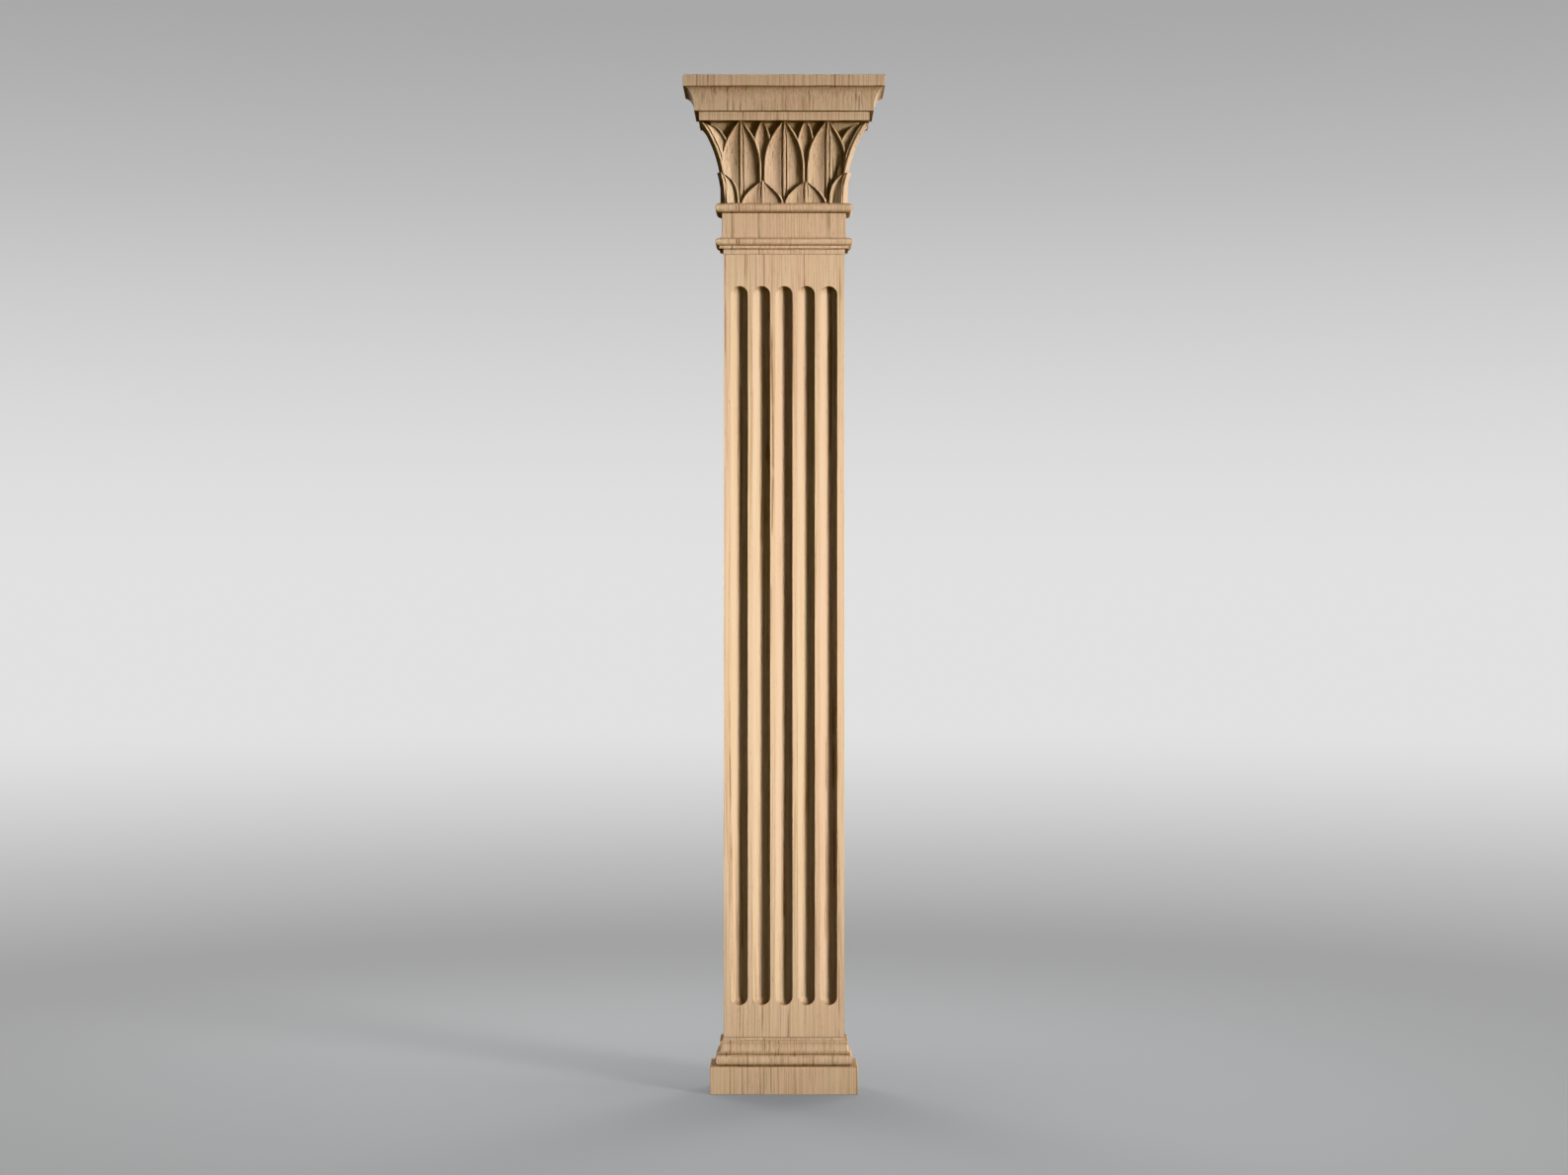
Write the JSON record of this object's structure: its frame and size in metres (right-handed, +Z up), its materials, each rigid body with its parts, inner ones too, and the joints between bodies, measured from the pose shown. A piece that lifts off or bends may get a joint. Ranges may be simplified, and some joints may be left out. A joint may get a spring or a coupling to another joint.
{
  "type": "carved wooden pilaster",
  "caption": "Flat-backed carved wooden pilaster with a moulded base, a stop-fluted shaft and a capital of pointed leaves under a hollow-sided abacus.",
  "frame": {"origin": "middle of the underside of the whole pilaster's box, at the height the base stands on; half of the depth lies in front of it and half behind", "axes": "+Z up along the shaft, +X across the face to the viewer's right, -Y out of the carved face; the flat back is the plane y = 0.03965 m"},
  "size_m": [0.1986, 0.0794, 1.0066],
  "materials": {
    "base_wood": "sanded bare wood, matt, straight vertical grain",
    "shaft_wood": "sanded bare wood, matt, straight vertical grain",
    "capital_wood": "carved bare wood, matt, straight vertical grain"
  },
  "bodies": {
    "root": {"base": "base_wood", "shaft": "shaft_wood", "capital": "capital_wood"}
  },
  "joints": []
}
